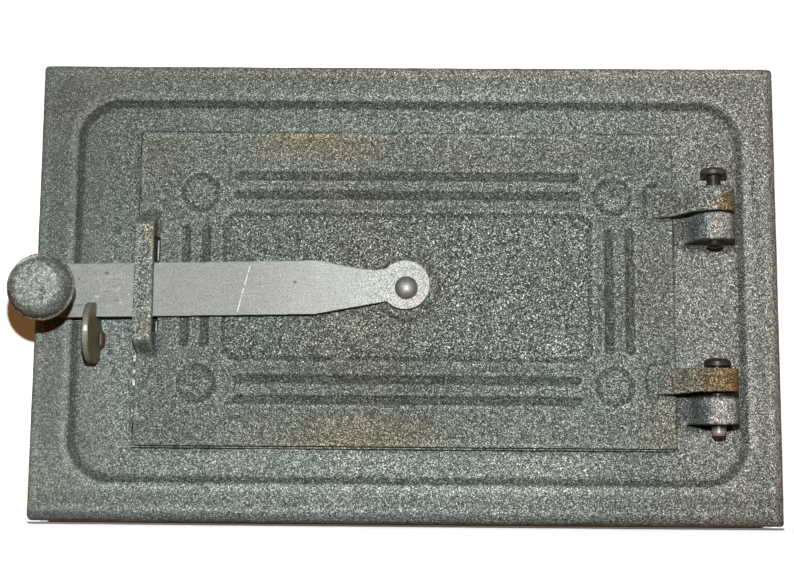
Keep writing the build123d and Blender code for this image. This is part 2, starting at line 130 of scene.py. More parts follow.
def set_stage():
    low = -0.1016
    floor, _ = stage_plane("floor", [(-3, -3, low), (3, -3, low), (3, 0.0206, low), (-3, 0.0206, low)])
    floor.is_shadow_catcher = True
    floor.visible_diffuse = floor.visible_glossy = False
    # the backdrop is paper near the door and a white light box further out, and open from behind
    edge, step_up = 0.1635, -0.093
    wall, nt = stage_plane("backdrop", [(x, 0.0206, z) for x, z in (
        (-3, step_up), (-edge, step_up), (-edge, low), (edge, low), (edge, step_up), (3, step_up), (3, 2), (-3, 2))])
    wall.visible_shadow = wall.visible_diffuse = wall.visible_glossy = False
    link = nt.links.new
    spot = nt.nodes.new("ShaderNodeTexCoord")
    far = nt.nodes.new("ShaderNodeVectorMath")
    far.operation = "MULTIPLY"
    link(spot.outputs["Object"], far.inputs[0])
    far.inputs[1].default_value = (1.0, 0.0, 2.0)
    reach = nt.nodes.new("ShaderNodeVectorMath")
    reach.operation = "LENGTH"
    link(far.outputs["Vector"], reach.inputs[0])
    share = nt.nodes.new("ShaderNodeMapRange")
    share.interpolation_type = "SMOOTHSTEP"
    link(reach.outputs["Value"], share.inputs["Value"])
    share.inputs["From Min"].default_value, share.inputs["From Max"].default_value = 0.205, 0.30
    # the paper's foot, behind the frame's lower edge, lies in a deeper shadow
    corner = nt.nodes.new("ShaderNodeSeparateXYZ")
    link(spot.outputs["Object"], corner.inputs[0])
    off = nt.nodes.new("ShaderNodeMath")
    off.operation = "ABSOLUTE"
    link(corner.outputs[0], off.inputs[0])
    shaded_foot = nt.nodes.new("ShaderNodeMapRange")
    link(corner.outputs[2], shaded_foot.inputs["Value"])
    shaded_foot.inputs["From Min"].default_value, shaded_foot.inputs["From Max"].default_value = -0.0985, -0.0997
    behind = nt.nodes.new("ShaderNodeMapRange")
    link(off.outputs[0], behind.inputs["Value"])
    behind.inputs["From Min"].default_value, behind.inputs["From Max"].default_value = 0.1605, 0.1585
    dark = nt.nodes.new("ShaderNodeMath")
    dark.operation = "MULTIPLY"
    link(shaded_foot.outputs["Result"], dark.inputs[0])
    link(behind.outputs["Result"], dark.inputs[1])
    tint = nt.nodes.new("ShaderNodeMix")
    tint.data_type = "RGBA"
    link(dark.outputs[0], tint.inputs[0])
    tint.inputs[6].default_value = (0.86, 0.86, 0.85, 1)
    tint.inputs[7].default_value = (0.27, 0.45, 0.66, 1)
    link(tint.outputs[2], nt.nodes["Principled BSDF"].inputs["Base Color"])
    rest = nt.nodes.new("ShaderNodeMath")
    rest.operation = "SUBTRACT"
    rest.use_clamp = True
    link(share.outputs["Result"], rest.inputs[0])
    link(dark.outputs[0], rest.inputs[1])
    glow = nt.nodes.new("ShaderNodeEmission")
    paper = nt.nodes.new("ShaderNodeMixShader")
    link(rest.outputs[0], paper.inputs[0])
    link(nt.nodes["Principled BSDF"].outputs[0], paper.inputs[1])
    link(glow.outputs[0], paper.inputs[2])
    side = nt.nodes.new("ShaderNodeNewGeometry")
    clear = nt.nodes.new("ShaderNodeBsdfTransparent")
    both = nt.nodes.new("ShaderNodeMixShader")
    link(side.outputs["Backfacing"], both.inputs[0])
    link(paper.outputs[0], both.inputs[1])
    link(clear.outputs[0], both.inputs[2])
    link(both.outputs[0], nt.nodes["Material Output"].inputs[0])


# ---------------------------------------------------------------- surfaces

def value_noise(p, cell, seed):
    """Smooth noise from 0 to 1 at the points p, one feature about every `cell` mm."""
    q = p / cell
    i = np.floor(q).astype(np.int64)
    f = q - i
    f = f * f * f * (f * (f * 6 - 15) + 10)

    def corner(dx, dy, dz):
        n = (i[:, 0] + dx) * 73856093 ^ (i[:, 1] + dy) * 19349663 ^ (i[:, 2] + dz) * 83492791 ^ (seed * 7919)
        n &= 0xFFFFFFFF
        n = ((n ^ (n >> 15)) * 2246822519) & 0xFFFFFFFF
        n = ((n ^ (n >> 13)) * 3266489917) & 0xFFFFFFFF
        return ((n ^ (n >> 16)) & 0xFFFF) / 65535.0

    x, y, z = f[:, 0], f[:, 1], f[:, 2]
    a = corner(0, 0, 0) * (1 - x) + corner(1, 0, 0) * x
    b = corner(0, 1, 0) * (1 - x) + corner(1, 1, 0) * x
    c = corner(0, 0, 1) * (1 - x) + corner(1, 0, 1) * x
    d = corner(0, 1, 1) * (1 - x) + corner(1, 1, 1) * x
    return (a * (1 - y) + b * y) * (1 - z) + (c * (1 - y) + d * y) * z


def surface_of(node, name, cell):
    """The CAD node's surface as even quads of about `cell` mm, with its edges kept, in a new piece."""
    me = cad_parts[node].data.copy()
    bm = bmesh.new()
    bm.from_mesh(me)
    bmesh.ops.remove_doubles(bm, verts=bm.verts, dist=1e-7)
    bm.to_mesh(me)
    bm.free()
    rough = bpy.data.objects.new("unfinished", me)
    scene.collection.objects.link(rough)
    lo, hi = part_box(node)
    size = max(hi - lo) * 1000
    remesh = rough.modifiers.new("even", "REMESH")
    remesh.mode = "SHARP"
    remesh.use_remove_disconnected = False
    remesh.octree_depth = max(6, math.ceil(math.log2(size / (0.99 * cell))))
    remesh.scale = min(0.99, size / (cell * 2 ** remesh.octree_depth))
    done = bpy.data.meshes.new_from_object(rough.evaluated_get(bpy.context.evaluated_depsgraph_get()))
    bpy.data.objects.remove(rough)
    done.name = name
    piece = bpy.data.objects.new(name, done)
    scene.collection.objects.link(piece)
    return piece


class Skin:
    """The points of a piece, in millimetres, while its surface is being worked."""

    def __init__(self, piece, node):
        self.me, self.node = piece.data, node
        n = len(self.me.vertices)
        co = np.zeros(n * 3, np.float32)
        self.me.vertices.foreach_get("co", co)
        self.p = co.reshape(-1, 3).astype(float) * 1000
        e = np.zeros(len(self.me.edges) * 2, np.int32)
        self.me.edges.foreach_get("vertices", e)
        self.a, self.b = e.reshape(-1, 2).T
        self.count = np.bincount(self.a, minlength=n) + np.bincount(self.b, minlength=n)

    def soften(self, weight, times, amount=0.5):
        n = len(self.p)
        for _ in range(times):
            mean = np.stack([
                np.bincount(self.a, self.p[self.b, k], n) + np.bincount(self.b, self.p[self.a, k], n)
                for k in range(3)], 1) / self.count[:, None]
            self.p += (mean - self.p) * (weight * amount)[:, None]

    def write(self):
        self.me.vertices.foreach_set("co", (self.p / 1000).astype(np.float32).ravel())
        self.me.update()

    def normals(self):
        self.write()
        out = np.zeros(len(self.p) * 3, np.float32)
        self.me.vertex_normals.foreach_get("vector", out)
        return out.reshape(-1, 3).astype(float)

    def sink(self, weight, layers):
        """Sinks the surface by sand-mould unevenness: layers of (feature size, depth, seed)."""
        depth = sum(d * value_noise(self.p + 500, c, s) for c, d, s in layers)
        self.p -= self.normals() * (depth * weight)[:, None]

    def mark_hollows(self, times, full, weight=1.0):
        """Keeps how hollow (1) or proud (-1) the surface is at each point, for painted shade and grime in the hollows
        and for proud edges painted lighter, partly as wear and partly as painted highlight.
        """
        kept, n = self.p.copy(), self.normals()
        self.soften(np.ones(len(self.p)), times, 0.7)
        h = ((self.p - kept) * n).sum(1) / full * weight
        self.p = kept
        self.me.attributes.new("hollow", "FLOAT", "POINT").data.foreach_set("value", np.clip(h, -1, 1).astype(np.float32))

    def finish(self):
        lo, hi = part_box(self.node)
        self.p = np.clip(self.p, np.array(lo) * 1000, np.array(hi) * 1000)
        self.write()
        self.me.shade_smooth()


def step(x, a, b):
    """0 below a, 1 above b, smooth between."""
    t = np.clip((x - a) / (b - a), 0, 1)
    return t * t * (3 - 2 * t)


def clear_of_hinge(p):
    """0 in the hinge bores, 1 away from them."""
    return step(np.hypot(p[:, 0] - HINGE[0], p[:, 1] - HINGE[1]), 4.0, 5.2)


def make_frame():
    piece = surface_of("door_frame", "frame_casting", 1.19)
    skin = Skin(piece, "door_frame")
    x, y, z = skin.p.T
    free = clear_of_hinge(skin.p)
    seat = (x > LAND[0] - 0.9) & (x < LAND[1] + 0.9) & (z > LAND[2] - 0.9) & (z < LAND[3] + 0.9) & (y < -5.5) & (y > -8)
    rear = step(y, 16.5, 19.0)                                      # the flat rear rim stays true
    skin.mark_hollows(10, 0.26)
    skin.soften(np.where(seat, 0.0, 0.5) * free * (1 - rear), 2)
    even = np.where(seat, 0.0, 1.0) * free * (1 - rear)
    skin.sink(even, [(26, 0.16, 3), (7.5, 0.10, 4), (3.1, 0.13, 5)])
    skin.finish()
    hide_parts("door_frame")
    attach(piece, "frame")
    return piece


def make_leaf():
    piece = surface_of("door_leaf", "leaf_casting", 0.9)
    skin = Skin(piece, "door_leaf")
    x, y, z = skin.p.T
    free = clear_of_hinge(skin.p)
    back = step(y, -8.2, -7.6)                                      # ground flat where it seats
    inner = (step(x, LEAF[0] + 1.0, LEAF[0] + 3.0) * step(-x, -LEAF[1] + 1.0, -LEAF[1] + 3.0)
             * step(z, LEAF[2] + 1.0, LEAF[2] + 3.0) * step(-z, -LEAF[3] + 1.0, -LEAF[3] + 3.0))
    off = np.hypot(x - PIVOT[0], z - PIVOT[1])
    boss = step(off, 13.5, 15.5)
    rim = step(off, 11.4, 12.4) * step(-off, -17.0, -15.5) * step(-y, 8.4, 8.9)     # its edge is worn away
    relief = inner * step(-y, 8.8, 9.6) * step(y, -12.6, -11.9) * boss
    skin.mark_hollows(8, 0.2, 1 - 0.85 * step(-off, -18.0, -16.0))
    disc = sum(step(-np.hypot(np.abs(x) - 89.8, z - c), -12.0, -10.5) for c in (42.3, -40.3))
    skin.soften(relief * 0.6, 2)
    skin.soften(relief * disc * 0.8, 5)
    skin.soften(rim, 7)
    skin.soften((1 - back) * free * 0.25, 1)
    skin.sink((1 - back) * free * (0.15 + 0.85 * boss), [(22, 0.16, 13), (6.5, 0.10, 14), (2.4, 0.13, 15)])
    skin.finish()
    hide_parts("door_leaf")
    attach(piece, "leaf")
    return piece


def make_knob():
    piece = surface_of("latch_knob", "knob_casting", 0.42)
    skin = Skin(piece, "latch_knob")
    x, y, z = skin.p.T
    r = np.hypot(x - KNOB[0], z - KNOB[1])
    seam = np.exp(-((y + 42.4) / 1.2) ** 2) * step(r, 11.5, 13.0)    # the parting rim stays smooth
    away = step(-y, 15.5, 17.5) * (1 - 0.9 * seam)
    skin.mark_hollows(8, 0.2)
    skin.soften(away, 2)
    skin.sink(away, [(5.5, 0.5, 23), (1.9, 0.36, 24), (0.95, 0.2, 25)])
    skin.finish()
    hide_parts("latch_knob")
    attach(piece, "latch")
    return piece


def make_bar():
    piece = surface_of("latch_bar", "bar_strip", 0.42)
    skin = Skin(piece, "latch_bar")
    x, y, z = skin.p.T
    hole = step(np.hypot(x - PIVOT[0], z - PIVOT[1]), 3.6, 4.4) * step(np.hypot(x - KNOB[0], z - KNOB[1]), 3.6, 4.4)
    skin.soften(hole * 0.7, 1)
    skin.sink(hole, [(14, 0.05, 33), (2.6, 0.03, 34)])
    skin.finish()
    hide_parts("latch_bar")
    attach(piece, "latch")
    return piece


def make_keeper():
    piece = surface_of("keeper_hook", "keeper_plate", 0.3)
    skin = Skin(piece, "keeper_hook")
    x, y, z = skin.p.T
    free = step(-y, 8.9, 9.6)
    skin.soften(free * 0.9, 2)
    skin.sink(free, [(6, 0.10, 43), (1.6, 0.09, 44)])
    skin.finish()
    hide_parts("keeper_hook")
    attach(piece, "frame")
    return piece


# ---------------------------------------------------------------- materials

class Paint:
    """A node material on a Principled shader. Positions are millimetres on the piece."""

    def __init__(self, name):
        self.mat = bpy.data.materials.new(name)
        self.mat.use_nodes = True
        self.nt = self.mat.node_tree
        self.nt.nodes.clear()
        out = self.nt.nodes.new("ShaderNodeOutputMaterial")
        self.shader = self.nt.nodes.new("ShaderNodeBsdfPrincipled")
        self.nt.links.new(self.shader.outputs[0], out.inputs[0])
        spot = self.nt.nodes.new("ShaderNodeTexCoord")
        self.p = self.vector("SCALE", spot.outputs["Object"], scale=1000.0)
        self.normal = None

    def put(self, socket, value):
        if isinstance(value, bpy.types.NodeSocket):
            self.nt.links.new(value, socket)
        elif isinstance(value, (tuple, list)) and len(value) == 3 and socket.type == "RGBA":
            socket.default_value = (*value, 1)
        else:
            socket.default_value = value

    def vector(self, how, a, b=None, scale=None):
        n = self.nt.nodes.new("ShaderNodeVectorMath")
        n.operation = how
        self.put(n.inputs[0], a)
        if b is not None:
            self.put(n.inputs[1], b)
        if scale is not None:
            self.put(n.inputs["Scale"], scale)
        return n.outputs["Value"] if how in ("LENGTH", "DOT_PRODUCT", "DISTANCE") else n.outputs["Vector"]

    def math(self, how, a, b=0.0, clamp=False):
        n = self.nt.nodes.new("ShaderNodeMath")
        n.operation = how
        n.use_clamp = clamp
        self.put(n.inputs[0], a)
        self.put(n.inputs[1], b)
        return n.outputs[0]

    def noise(self, cell, detail=0.0, rough=0.5, at=None, bend=0.0):
        n = self.nt.nodes.new("ShaderNodeTexNoise")
        n.noise_dimensions = "3D"
        self.put(n.inputs["Vector"], self.p if at is None else at)
        n.inputs["Scale"].default_value = 1.0 / cell
        n.inputs["Detail"].default_value = detail
        n.inputs["Roughness"].default_value = rough
        n.inputs["Distortion"].default_value = bend
        return n.outputs["Fac"]

    def cells(self, cell, at=None):
        """(distance to the middle of a random grain, a random value of that grain)"""
        n = self.nt.nodes.new("ShaderNodeTexVoronoi")
        self.put(n.inputs["Vector"], self.p if at is None else at)
        n.inputs["Scale"].default_value = 1.0 / cell
        split = self.nt.nodes.new("ShaderNodeSeparateColor")
        self.nt.links.new(n.outputs["Color"], split.inputs[0])
        return n.outputs["Distance"], split.outputs[0]

    def ramp(self, x, a, b, low=0.0, high=1.0, smooth=True):
        n = self.nt.nodes.new("ShaderNodeMapRange")
        n.interpolation_type = "SMOOTHSTEP" if smooth else "LINEAR"
        self.put(n.inputs["Value"], x)
        for socket, v in (("From Min", a), ("From Max", b), ("To Min", low), ("To Max", high)):
            n.inputs[socket].default_value = v
        return n.outputs["Result"]

    def mix(self, share, a, b):
        n = self.nt.nodes.new("ShaderNodeMix")
        n.data_type = "RGBA"
        self.put(n.inputs[0], share)
        self.put(n.inputs[6], a)
        self.put(n.inputs[7], b)
        return n.outputs[2]

    def times(self, colour, value):
        """A colour made brighter or darker by a value."""
        return self.vector("SCALE", colour, scale=value)

    def axis(self, k):
        n = self.nt.nodes.new("ShaderNodeSeparateXYZ")
        self.nt.links.new(self.p, n.inputs[0])
        return n.outputs[k]

    def patch(self, middle, reach, edge=0.35, ragged=0.0, cell=4.0):
        """1 in an oval patch round `middle` that reaches `reach` each way, 0 outside, with a soft or ragged edge."""
        d = self.vector("LENGTH", self.vector("DIVIDE", self.vector("SUBTRACT", self.p, tuple(middle)), tuple(reach)))
        if ragged:
            d = self.math("ADD", d, self.math("MULTIPLY", self.math("SUBTRACT", self.noise(cell, 3, 0.6), 0.5), ragged))
        return self.ramp(d, 1.0 - edge, 1.0 + edge, 1.0, 0.0)

    def within(self, x, a, b, edge=0.05):
        return self.math("MULTIPLY", self.ramp(x, a - edge, a + edge), self.ramp(x, b - edge, b + edge, 1.0, 0.0))

    def any(self, *masks):
        out = masks[0]
        for m in masks[1:]:
            out = self.math("MAXIMUM", out, m)
        return out

    def product(self, *masks):
        out = masks[0]
        for m in masks[1:]:
            out = self.math("MULTIPLY", out, m)
        return out

    def bump(self, height, distance, strength=1.0):
        n = self.nt.nodes.new("ShaderNodeBump")
        n.inputs["Strength"].default_value = strength
        n.inputs["Distance"].default_value = distance / 1000.0
        self.put(n.inputs["Height"], height)
        if self.normal is not None:
            self.nt.links.new(self.normal, n.inputs["Normal"])
        self.normal = n.outputs["Normal"]

    def done(self, colour, roughness, metallic=0.0, specular=0.5):
        s = self.shader.inputs
        self.put(s["Base Color"], colour)
        self.put(s["Roughness"], roughness)
        self.put(s["Metallic"], metallic)
        self.put(s["Specular IOR Level"], specular)
        if self.normal is not None:
            self.nt.links.new(self.normal, s["Normal"])
        return self.mat


def grain(paint, cell=0.5, contrast=4.4, coarse=1.2, facets=1.0, sharp=None):
    """The sparkle of a bare sand casting. Returns (brightness factor, mask of bright grains, height)."""
    fine = paint.noise(cell, 2.0, 0.62)
    soft = paint.noise(coarse, 1.0, 0.5)
    near, chance = paint.cells(cell * 1.2)
    rise = paint.math("ADD", paint.math("MULTIPLY", paint.math("SUBTRACT", fine, 0.5), contrast),
                      paint.math("MULTIPLY", paint.math("SUBTRACT", soft, 0.5), 1.1))
    rise = paint.math("ADD", rise, paint.math("MULTIPLY", paint.math("SUBTRACT", chance, 0.5), facets))
    if sharp is not None:
        rise = paint.math("MULTIPLY", rise, sharp)
    factor = paint.math("POWER", 2.718, rise)
    glint = paint.product(paint.ramp(chance, 0.88, 0.93), paint.ramp(near, 0.12, 0.5, 1.0, 0.0))
    pit_near, pit_chance = paint.cells(cell * 2.1)
    pit = paint.product(paint.ramp(pit_chance, 0.10, 0.05), paint.ramp(pit_near, 0.1, 0.42, 1.0, 0.0))
    height = paint.math("ADD", paint.math("MULTIPLY", fine, 0.75), paint.math("MULTIPLY", soft, 0.9))
    height = paint.math("SUBTRACT", height, paint.math("MULTIPLY", pit, 0.6))
    factor = paint.math("MULTIPLY", factor, paint.math("SUBTRACT", 1.0, paint.math("MULTIPLY", pit, 0.6)))
    return factor, glint, height


def iron(name, base, tone_and_painted_light, stains_and_painted_shading=(), wear_highlight_and_gap_shade=None, hollow_shade_and_grime=0.5, cell=0.4, contrast=9.0, facets=2.4, bump=0.2,
         rough=(0.62, 0.82), metal=0.10, calm=None):
    """Bare cast iron: base colour, slow tone with painted light falloff, grain, stains and painted light and shade as
    (mask, colour, strength), and bare bright metal with a painted edge highlight and painted gap shade.
    """
    paint = Paint(name)
    sharp = paint.ramp(paint.axis(0), -140, 0, 0.8, 1.0, smooth=False)
    if calm:
        sharp = paint.math("MULTIPLY", sharp, calm(paint))
    factor, glint, height = grain(paint, cell, contrast, facets=facets, sharp=sharp)
    slow = paint.noise(38, 3.0, 0.55)
    blotch = paint.noise(9, 2.0, 0.5)
    colour = paint.mix(paint.ramp(slow, 0.35, 0.65), tuple(c * k for c, k in zip(base, (0.93, 0.97, 0.96))),
                       tuple(c * k for c, k in zip(base, (1.07, 1.03, 0.99))))
    hollow = paint.nt.nodes.new("ShaderNodeAttribute")
    hollow.attribute_name = "hollow"
    hollow = hollow.outputs["Fac"]
    # painted shade, with some grime: hollows are painted darker, and proud edges lighter, partly as wear and partly as
    # painted highlight
    factor = paint.product(factor, tone_and_painted_light(paint), paint.ramp(hollow, 0.03, 0.8, 1.0, hollow_shade_and_grime),
                           paint.ramp(hollow, -0.15, -0.8, 1.0, 1.3))
    # stains, and colour patches that are painted light and shade
    for mask, stain_and_shade_colour, strength in [s(paint) for s in stains_and_painted_shading]:
        colour = paint.mix(paint.math("MULTIPLY", mask, strength), colour, stain_and_shade_colour)
    colour = paint.times(colour, paint.math("MULTIPLY", factor, paint.ramp(blotch, 0.3, 0.7, 0.94, 1.06, smooth=False)))
    colour = paint.mix(paint.product(glint, 0.62, paint.ramp(hollow, 0.1, 0.7, 1.0, 0.45)), colour, (0.50, 0.52, 0.50))
    roughness = paint.ramp(paint.noise(2.2, 2.0, 0.6), 0.3, 0.7, rough[0], rough[1], smooth=False)
    roughness = paint.math("SUBTRACT", roughness, paint.math("MULTIPLY", glint, 0.25))
    metallic = paint.math("ADD", paint.math("MULTIPLY", glint, 0.6 - metal), metal)
    if wear_highlight_and_gap_shade:
        # the seat's bare metal, with a painted edge highlight, and the gap round the leaf painted dark as shade with
        # some dirt
        mask, gap_dirt_and_shade = wear_highlight_and_gap_shade(paint)
        colour = paint.mix(mask, colour, (0.60, 0.61, 0.59))
        colour = paint.times(colour, paint.math("SUBTRACT", 1.0, paint.math("MULTIPLY", gap_dirt_and_shade, 0.93)))
        metallic = paint.math("MAXIMUM", metallic, paint.math("MULTIPLY", mask, 0.5))
        metallic = paint.math("MULTIPLY", metallic, paint.math("SUBTRACT", 1.0, gap_dirt_and_shade))
        height = paint.math("MULTIPLY", height, paint.math("SUBTRACT", 1.0, paint.math("MULTIPLY", mask, 0.8)))
    paint.bump(height, bump)
    return paint.done(colour, roughness, metallic, 0.1)


OCHRE, RUST, BROWN, OLIVE, SOOT_AND_SHADE = (0.085, 0.068, 0.036), (0.094, 0.043, 0.014), (0.072, 0.052, 0.034), (0.066, 0.063, 0.044), (0.028, 0.028, 0.026)
BASE = (0.0645, 0.0740, 0.0705)


def frame_iron():
    # painted light: the frame's brightness is ramped left to right and bottom to top, with a few lighter and darker
    # areas, to stand in for the lamp's falloff on top of the iron's own tone
    def tone_and_painted_light(p):
        z = p.axis(2)
        left, right = p.ramp(z, -95, 90, 1.56, 0.98, smooth=False), p.ramp(z, -95, 90, 1.47, 1.31, smooth=False)
        share = p.ramp(p.axis(0), -160, 150, smooth=False)
        slow = p.math("ADD", p.math("MULTIPLY", right, share), p.math("MULTIPLY", left, p.math("SUBTRACT", 1.0, share)))
        slow = p.product(slow, p.ramp(z, -84, -90, 1.0, 0.85), p.math("ADD", 1.0, p.product(p.ramp(z, -64, -72), p.ramp(p.axis(0), 90, 40), 0.07)),
                         p.ramp(p.product(p.ramp(z, -64, -72), p.ramp(p.axis(0), 60, 100)), 0.0, 1.0, 1.0, 0.90),
                         p.math("ADD", 1.0, p.product(p.within(p.axis(0), -140, -117, 2.0), p.within(z, -60, -12, 9), 0.12)),
                         p.math("ADD", 1.0, p.product(p.ramp(z, 84, 91), p.ramp(p.axis(0), -80, -140), 0.13)))
        x, knuckle = p.axis(0), on_knuckle(p)
        # painted light on the knuckles: a darker left cheek, a painted highlight down the middle and a darker right
        # side, as light falls on a round knuckle
        for part, change in ((p.within(x, 121.4, 127.0, 0.9), -0.40), (p.within(x, 127.8, 134.4, 1.0), 0.26),
                             (p.within(x, 137.2, 141.5, 1.0), -0.35)):
            slow = p.math("MULTIPLY", slow, p.math("ADD", 1.0, p.product(knuckle, part, change)))
        return slow

    def on_knuckle(p):
        z = p.axis(2)
        return p.product(p.ramp(p.axis(1), -7.4, -8.8), p.any(p.within(z, 20.5, 34.0, 0.4), p.within(z, -57.5, -43.5, 0.4)))

    def warm_light_right(p):
        # painted light: the right side is painted warmer and lighter, as the warm lamp on the right would light it
        return p.ramp(p.axis(0), 60, 150), (0.077, 0.074, 0.068), 0.5

    def knuckle_face(p):
        return p.product(on_knuckle(p), p.within(p.axis(0), 127.8, 136.0, 1.0)), (0.063, 0.063, 0.059), 0.8

    def shade_under_knuckle(p):
        # painted shade, with some soot in the corner: the knuckles' undersides and the field just below the lower
        # knuckle are painted near black where shadow falls
        x, y, z = p.axis(0), p.axis(1), p.axis(2)
        down = p.ramp(p.vector("DOT_PRODUCT", p.nt.nodes.new("ShaderNodeNewGeometry").outputs["Normal"], (0.0, 0.0, -1.0)), 0.3, 0.7)
        shaded_below = p.product(down, p.ramp(y, -7.6, -8.4), p.within(x, 118.0, 141.5, 0.5), 0.7)
        depth = p.ramp(x, 121.0, 130.0, 0.2, 1.9, smooth=False)
        shaded_foot = p.product(p.ramp(p.math("ADD", z, p.math("ADD", 56.9, depth)), -0.15, 0.25), p.ramp(z, -55.9, -56.3),
                         p.within(x, 121.0, 140.5, 0.5), p.ramp(y, -6.0, -6.3), p.ramp(y, -12.5, -9.5))
        return p.any(shaded_below, shaded_foot), (0.010, 0.009, 0.008), 0.95

    def shaded_blue_cheek(p):
        # painted shade and reflection: the knuckles' left cheeks are painted dark and bluish, as a glossy face turned
        # from the light looks
        return p.product(on_knuckle(p), p.within(p.axis(0), 121.4, 127.0, 0.9)), (0.046, 0.058, 0.066), 0.6

    def rubbed_root(p):
        z = p.axis(2)
        return p.product(p.within(p.axis(0), 117.2, 120.6, 0.5), p.ramp(p.axis(1), -6.2, -6.6),
                         p.any(p.within(z, 16.0, 32.0, 3.0), p.within(z, -58.0, -46.0, 3.0))), (0.125, 0.130, 0.122), 0.55

    def shaded_sides(p):
        # painted shade: the frame's outer edges are painted brown, as faces lit only by the warm room light look
        x, z = p.axis(0), p.axis(2)
        edge = p.any(p.ramp(p.math("ABSOLUTE", p.math("SUBTRACT", x, 0.3)), 160.9, 161.8), p.ramp(p.math("ABSOLUTE", p.math("SUBTRACT", z, 0.5)), 99.1, 99.9))
        return p.math("MULTIPLY", edge, p.ramp(p.noise(7, 3, 0.6), 0.3, 0.6, 0.5, 1.0)), (0.06, 0.037, 0.022), 0.85

    def shaded_cool_edge(p):
        # painted shade: a dark bluish band where the outer edge rounds away, on the right and at the bottom
        return p.any(p.ramp(p.axis(0), 157.2, 159.4), p.ramp(p.axis(2), -94.0, -95.8)), (0.034, 0.042, 0.046), 0.65

    def top_dust(p):
        return p.patch((10, -8, 97), (110, 9, 5), 0.5, 0.8, 6), BROWN, 0.30

    def weld_heat(p):
        return p.patch((-130.6, -7, -20.6), (1.4, 3, 2.4), 0.4, 0.9, 1.5), (0.050, 0.034, 0.024), 0.6

    def hinge_gap_shade(p):
        # painted shade: the top of the lower knuckle, in the gap under the arm, is painted near black
        x, y, z = p.axis(0), p.axis(1), p.axis(2)
        shaded_tops = p.product(p.ramp(y, -7.4, -8.4), p.within(x, 116.0, 141.5, 0.5), p.within(z, -45.4, -43.5, 0.3))
        return shaded_tops, (0.012, 0.012, 0.011), 0.95

    def inside(p):
        return p.ramp(p.axis(1), -4.0, 1.5), SOOT_AND_SHADE, 0.5

    def calm(p):
        return p.ramp(p.axis(0), -138, -122, 0.72, 1.0)

    def seat(p):
        x, y, z = p.axis(0), p.axis(1), p.axis(2)
        wobble = p.math("MULTIPLY", p.math("SUBTRACT", p.noise(3.5, 2, 0.6), 0.5), 0.7)
        level = p.within(y, -7.6, -6.6)
        land = p.product(level, p.within(x, LAND[0] + 0.15, LAND[1] - 0.15), p.within(z, LAND[2] + 0.5, LAND[3] - 0.15))
        # painted shade: the seat behind the bridge's slots is painted black
        slot_shade = p.product(p.within(x, -114.0, -104.6, 1.4), p.within(z, -25.0, 28.5, 3.0))
        worn = p.product(land, p.ramp(p.noise(1.6, 2, 0.6), 0.30, 0.5), p.math("SUBTRACT", 1.0, slot_shade))
        burr = p.product(level, p.within(x, -117.75, -116.6, 0.15), p.ramp(p.noise(2.0, 2, 0.7), 0.44, 0.52),
                         p.any(p.within(z, -36.0, -27.0, 0.8), p.product(p.within(z, -54.5, -36.0, 0.5), p.ramp(p.noise(2.7, 1), 0.5, 0.56))))
        line = p.product(level, p.within(x, -108.45, -107.85, 0.12), p.any(p.within(z, 13.0, 22.0, 0.4), p.within(z, -18.2, -13.6, 0.4)))
        lip = p.product(level, p.within(z, -68.6, -67.6, 0.1), p.within(x, -76, -30, 9), p.ramp(p.noise(5, 2, 0.6), 0.42, 0.55))
        # painted highlight: a bright broken line along the frame's bottom edge
        painted_edge_highlight = p.product(p.within(z, -99.75, -99.05, 0.15), p.within(y, -6.5, -2.0, 0.3), p.ramp(p.noise(4.0, 2, 0.6), 0.36, 0.52))
        wear_and_highlight = p.any(p.math("MULTIPLY", worn, 0.13), burr, p.math("MULTIPLY", line, 0.30), p.math("MULTIPLY", lip, 0.35), p.math("MULTIPLY", painted_edge_highlight, 0.9))
        # painted shade, with some dirt, in the gap round the closed leaf
        reach = p.any(p.math("SUBTRACT", LEAF[0] - 1.2, x), p.math("SUBTRACT", x, LEAF[1] + 1.0),
                      p.math("SUBTRACT", z, LEAF[3] + 1.2), p.math("SUBTRACT", LEAF[2] - 1.35, z))
        shaded_ring = p.ramp(p.math("ADD", reach, wobble), -0.12, 0.12, 1.0, 0.0)
        patchy = p.ramp(p.noise(6, 2, 0.6), 0.38, 0.58, 0.3, 1.0)
        shaded_ring = p.math("MULTIPLY", shaded_ring, p.ramp(x, LEAF[1] - 1.0, LEAF[1] - 0.6, 1.0, 0.6))
        top = p.ramp(z, LEAF[3] - 2.0, LEAF[3] - 1.0)
        shaded_ring = p.math("MULTIPLY", shaded_ring, p.math("SUBTRACT", 1.0, p.product(top, p.ramp(x, -90, -66), 0.35)))
        shaded_ring = p.math("MULTIPLY", shaded_ring, p.math("SUBTRACT", 1.0, p.product(p.any(top, p.ramp(x, LEAF[0] + 2, LEAF[0] + 1)), p.math("SUBTRACT", 1.0, patchy), 0.7)))
        gap_dirt_and_shade = p.product(level, shaded_ring, p.math("SUBTRACT", 1.0, p.within(x, LAND[0], LAND[1], 0.05)))
        gap_dirt_and_shade = p.any(gap_dirt_and_shade, p.product(level, shaded_ring, p.math("SUBTRACT", 1.0, p.within(z, LAND[2], LAND[3], 0.05))), p.product(level, slot_shade))
        return wear_and_highlight, p.math("MULTIPLY", gap_dirt_and_shade, p.math("SUBTRACT", 1.0, p.any(burr, line)))

    return iron("frame_cast_iron", BASE, tone_and_painted_light, [shaded_sides, shaded_cool_edge, top_dust, weld_heat, warm_light_right, knuckle_face, shaded_blue_cheek, rubbed_root, hinge_gap_shade,
                 shade_under_knuckle, inside], seat, hollow_shade_and_grime=0.42,
                contrast=7.2, facets=1.8, calm=calm)


